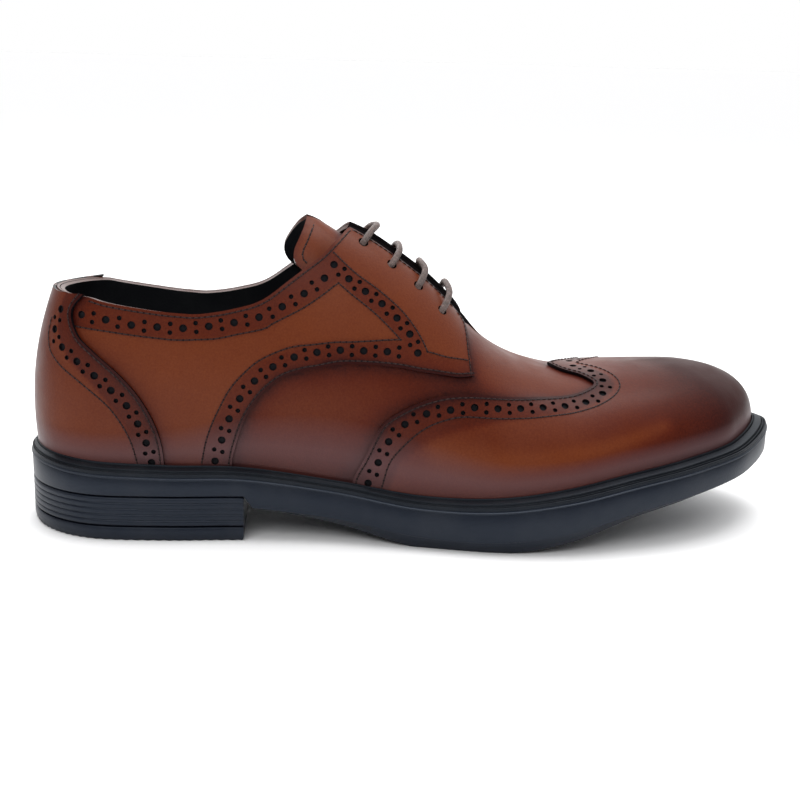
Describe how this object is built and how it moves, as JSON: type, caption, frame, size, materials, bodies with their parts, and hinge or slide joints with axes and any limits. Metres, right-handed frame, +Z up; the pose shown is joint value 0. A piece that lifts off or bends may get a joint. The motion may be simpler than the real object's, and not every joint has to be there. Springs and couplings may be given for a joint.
{
  "type": "wingtip brogue derby shoe",
  "caption": "Right leather derby shoe with a perforated wing toe cap, heel counter and laced quarters on a moulded rubber unit sole with a ribbed heel.",
  "frame": {"origin": "middle of the shoe's box, on the plane of its heel and forefoot flat spots", "axes": "+X to the toe, +Y to the inner (medial) side, +Z up"},
  "size_m": [0.306, 0.1097, 0.1216],
  "materials": {
    "sole_rubber": "satin",
    "welt_rubber": "satin",
    "sock_lining": "matt",
    "vamp_leather": "burnished",
    "tongue_leather": "burnished",
    "quarter_leather": "burnished",
    "counter_leather": "burnished",
    "cap_leather": "burnished",
    "lace": "waxed"
  },
  "bodies": {
    "root": {"outsole": "sole_rubber", "welt": "welt_rubber", "heel_block": "sole_rubber", "heel_top_piece": "sole_rubber", "insole": "sock_lining", "upper": "vamp_leather", "tongue": "tongue_leather", "quarter_lateral": "quarter_leather", "quarter_medial": "quarter_leather", "heel_counter": "counter_leather", "wing_cap": "cap_leather", "lace_bar_1": "lace", "lace_bar_2": "lace", "lace_bar_3": "lace", "lace_bar_4": "lace"}
  },
  "joints": []
}
